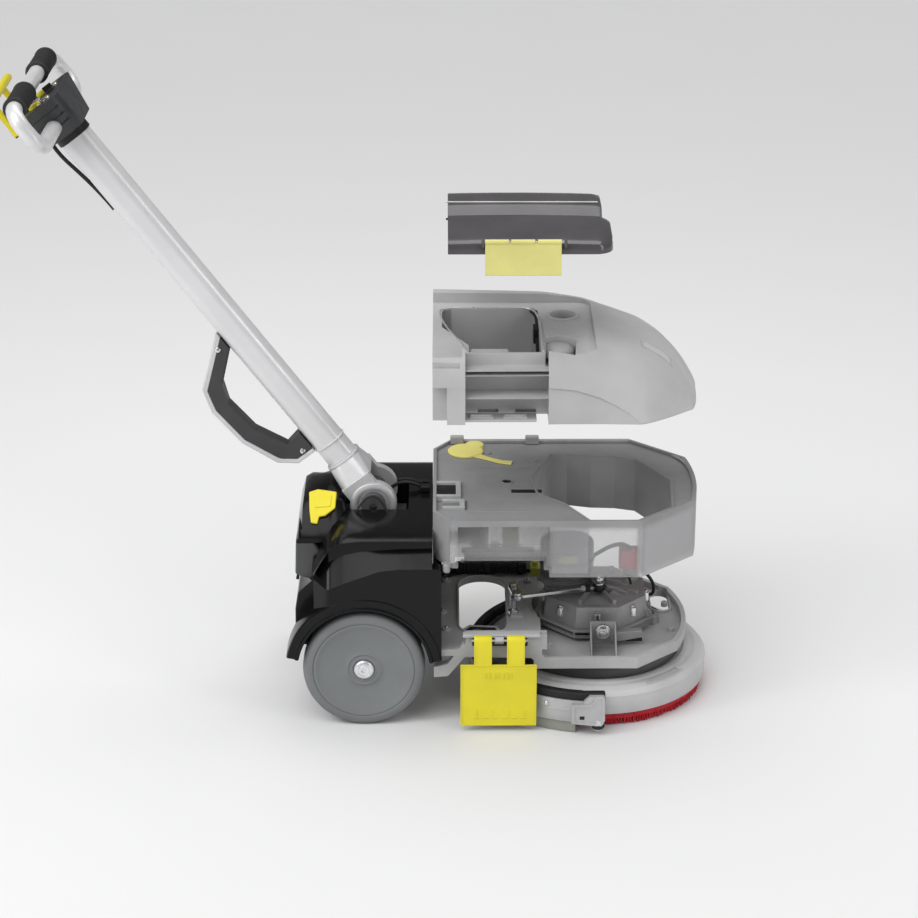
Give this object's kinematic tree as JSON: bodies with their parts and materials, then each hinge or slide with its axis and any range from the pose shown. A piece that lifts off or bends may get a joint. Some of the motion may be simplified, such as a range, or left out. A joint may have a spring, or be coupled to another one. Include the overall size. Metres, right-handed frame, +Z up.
{
  "type": "walk-behind floor scrubber",
  "caption": "Compact walk-behind disc floor scrubber in exploded layout: black wheeled rear housing, folding handle, swivelling brush head with squeegee, stacked tanks and lid lifted apart.",
  "frame": {"origin": "on the floor, midway between the two wheels, straight below the axle", "axes": "+X forward (towards the brush head), +Y to the far side of the machine, +Z up"},
  "size_m": [1.194, 0.458, 1.0948],
  "materials": {
    "deck_grey": "textured",
    "steel": "brushed",
    "housing_black": "glossy",
    "box_dark": "satin",
    "pedestal_dark": "satin",
    "inner_black": "matte",
    "hose_rubber": "matte",
    "valve_yellow": "satin",
    "cast_metal": "as cast",
    "bolt_zinc": "plated",
    "tyre_grey": "matte",
    "rim_grey": "satin",
    "cap_silver": "satin",
    "accent_yellow": "satin",
    "knuckle_silver": "satin",
    "tube_silver": "anodised",
    "spine_silver": "satin",
    "grip_dark": "textured",
    "grip_rubber": "textured",
    "drum_dark": "matte",
    "ring_grey": "satin",
    "motor_grey": "satin",
    "connector_red": "satin",
    "bush_brass": "machined",
    "brush_red": "matte",
    "squeegee_silver": "satin",
    "blade_rubber": "matte",
    "flap_yellow": "satin",
    "tank_grey": "satin",
    "cap_yellow": "satin",
    "shell_grey": "satin",
    "lid_dark": "glossy"
  },
  "bodies": {
    "chassis": {"chassis_deck": "deck_grey", "wheel_axle": "steel", "rear_housing": "housing_black", "rear_box": "box_dark", "handle_pedestal": "pedestal_dark", "handle_pin": "steel", "battery_pack": "inner_black", "suction_turbine": "inner_black", "suction_hose": "hose_rubber", "water_valve": "valve_yellow", "stop_bracket": "cast_metal", "stop_bolt": "bolt_zinc", "flap_pins": "steel", "pocket_bracket": "inner_black", "gear_case": "cast_metal", "head_neck": "cast_metal", "swivel_bush": "bush_brass", "drive_motor": "motor_grey", "motor_connector": "connector_red", "drive_belt": "hose_rubber"},
    "wheel_near": {"tyre_near": "tyre_grey", "rim_near": "rim_grey", "hub_cap_near": "cap_silver"},
    "wheel_far": {"tyre_far": "tyre_grey", "rim_far": "rim_grey", "hub_cap_far": "cap_silver"},
    "clip": {"box_clip": "accent_yellow"},
    "handle": {"handle_fork": "knuckle_silver", "handle_tube": "tube_silver", "carry_spine": "spine_silver", "carry_grip": "grip_dark", "console_housing": "box_dark", "handlebar": "tube_silver", "handlebar_grips": "grip_rubber"},
    "lever": {"drive_lever": "accent_yellow"},
    "key": {"key_switch": "inner_black"},
    "button_water": {"water_button": "accent_yellow"},
    "button_suction": {"suction_button": "accent_yellow"},
    "post": {"steering_post": "bolt_zinc"},
    "link": {"steering_link": "bolt_zinc"},
    "swivel": {"swivel_tube": "steel", "brush_bearing": "bush_brass", "swivel_drum": "drum_dark", "shroud_ring": "ring_grey"},
    "motor_rotor": {"motor_pulley": "steel"},
    "brush": {"brush_drive": "steel", "brush_plate": "brush_red", "brush_bristles": "brush_red"},
    "squeegee": {"squeegee_bar": "squeegee_silver", "squeegee_blades": "blade_rubber", "squeegee_strap": "hose_rubber"},
    "end_roller_near": {"roller_near": "cap_silver"},
    "end_roller_far": {"roller_far": "cap_silver"},
    "flap_near": {"side_flap_near": "flap_yellow"},
    "flap_far": {"side_flap_far": "flap_yellow"},
    "tank": {"fresh_tank": "tank_grey"},
    "cap": {"tank_cap": "cap_yellow"},
    "shell": {"recovery_tank": "shell_grey"},
    "cover": {"lid": "lid_dark"},
    "cover_flap": {"lid_flap": "cap_yellow"}
  },
  "joints": [
    {"name": "wheel_near_spin", "type": "hinge", "parent": "chassis", "child": "wheel_near", "pos_m": [0, -0.163, 0.104], "axis": [0, 1, 0], "continuous": true},
    {"name": "wheel_far_spin", "type": "hinge", "parent": "chassis", "child": "wheel_far", "pos_m": [0, 0.163, 0.104], "axis": [0, 1, 0], "continuous": true},
    {"name": "clip_pull", "type": "slide", "parent": "chassis", "child": "clip", "axis": [0, -0.694, 0.72], "range_m": [0, 0.012]},
    {"name": "handle_fold", "type": "hinge", "parent": "chassis", "child": "handle", "pos_m": [0.016, 0, 0.352], "axis": [0, 1, 0], "range_deg": [-2, 37]},
    {"name": "drive_lever_pull", "type": "hinge", "parent": "handle", "child": "lever", "pos_m": [-0.55384, 0, 1.00932], "axis": [0, 1, 0], "range_deg": [-4, 14]},
    {"name": "key_turn", "type": "hinge", "parent": "handle", "child": "key", "pos_m": [-0.50206, 0, 1.06353], "axis": [-0.6032, 0, 0.7976], "range_deg": [0, 90]},
    {"name": "water_press", "type": "slide", "parent": "handle", "child": "button_water", "axis": [-0.6032, 0, 0.7976], "range_m": [-0.003, 0]},
    {"name": "suction_press", "type": "slide", "parent": "handle", "child": "button_suction", "axis": [-0.6032, 0, 0.7976], "range_m": [-0.003, 0]},
    {"name": "head_swivel", "type": "hinge", "parent": "chassis", "child": "swivel", "pos_m": [0.401, 0, 0.1], "axis": [0, 0, 1], "range_deg": [-60, 60]},
    {"name": "post_turn", "type": "hinge", "parent": "chassis", "child": "post", "pos_m": [0.257, -0.04, 0.16], "axis": [0, 0, 1], "range_deg": [-60, 60]},
    {"name": "link_turn", "type": "hinge", "parent": "post", "child": "link", "pos_m": [0.2623, -0.0673, 0.187], "axis": [0, 0, 1], "range_deg": [-60, 60]},
    {"name": "brush_spin", "type": "hinge", "parent": "chassis", "child": "brush", "pos_m": [0.401, 0, 0.08], "axis": [0, 0, 1], "continuous": true},
    {"name": "motor_spin", "type": "hinge", "parent": "chassis", "child": "motor_rotor", "pos_m": [0.353, 0.036, 0.15], "axis": [0, 0, 1], "continuous": true},
    {"name": "squeegee_lift", "type": "slide", "parent": "swivel", "child": "squeegee", "axis": [0, 0, 1], "range_m": [0, 0.012]},
    {"name": "roller_near_spin", "type": "hinge", "parent": "squeegee", "child": "end_roller_near", "pos_m": [0.398, -0.218, 0.017], "axis": [0, 0, 1], "continuous": true},
    {"name": "roller_far_spin", "type": "hinge", "parent": "squeegee", "child": "end_roller_far", "pos_m": [0.398, 0.218, 0.017], "axis": [0, 0, 1], "continuous": true},
    {"name": "flap_near_swing", "type": "hinge", "parent": "chassis", "child": "flap_near", "pos_m": [0.23, -0.2, 0.168], "axis": [-1, 0, 0], "range_deg": [0, 180]},
    {"name": "flap_far_swing", "type": "hinge", "parent": "chassis", "child": "flap_far", "pos_m": [0.23, 0.2, 0.168], "axis": [-1, 0, 0], "range_deg": [0, 180]},
    {"name": "tank_lift", "type": "slide", "parent": "chassis", "child": "tank", "axis": [0, 0, 1], "range_m": [-0.154, 0]},
    {"name": "cap_lift", "type": "slide", "parent": "tank", "child": "cap", "axis": [0, 0, 1], "range_m": [0, 0.03]},
    {"name": "shell_lift", "type": "slide", "parent": "tank", "child": "shell", "axis": [0, 0, 1], "range_m": [-0.172, 0]},
    {"name": "lid_lift", "type": "slide", "parent": "shell", "child": "cover", "axis": [0.1538, 0, 0.9881], "range_m": [-0.168, 0]},
    {"name": "lid_flap_swing", "type": "hinge", "parent": "cover", "child": "cover_flap", "pos_m": [0.267, -0.146, 0.852], "axis": [-1, 0, 0], "range_deg": [0, 95]}
  ],
  "couplings": [
    {"joint": "post_turn", "follows": "head_swivel", "ratio": 1},
    {"joint": "link_turn", "follows": "head_swivel", "ratio": -1},
    {"joint": "motor_spin", "follows": "brush_spin", "ratio": 2.0909}
  ]
}
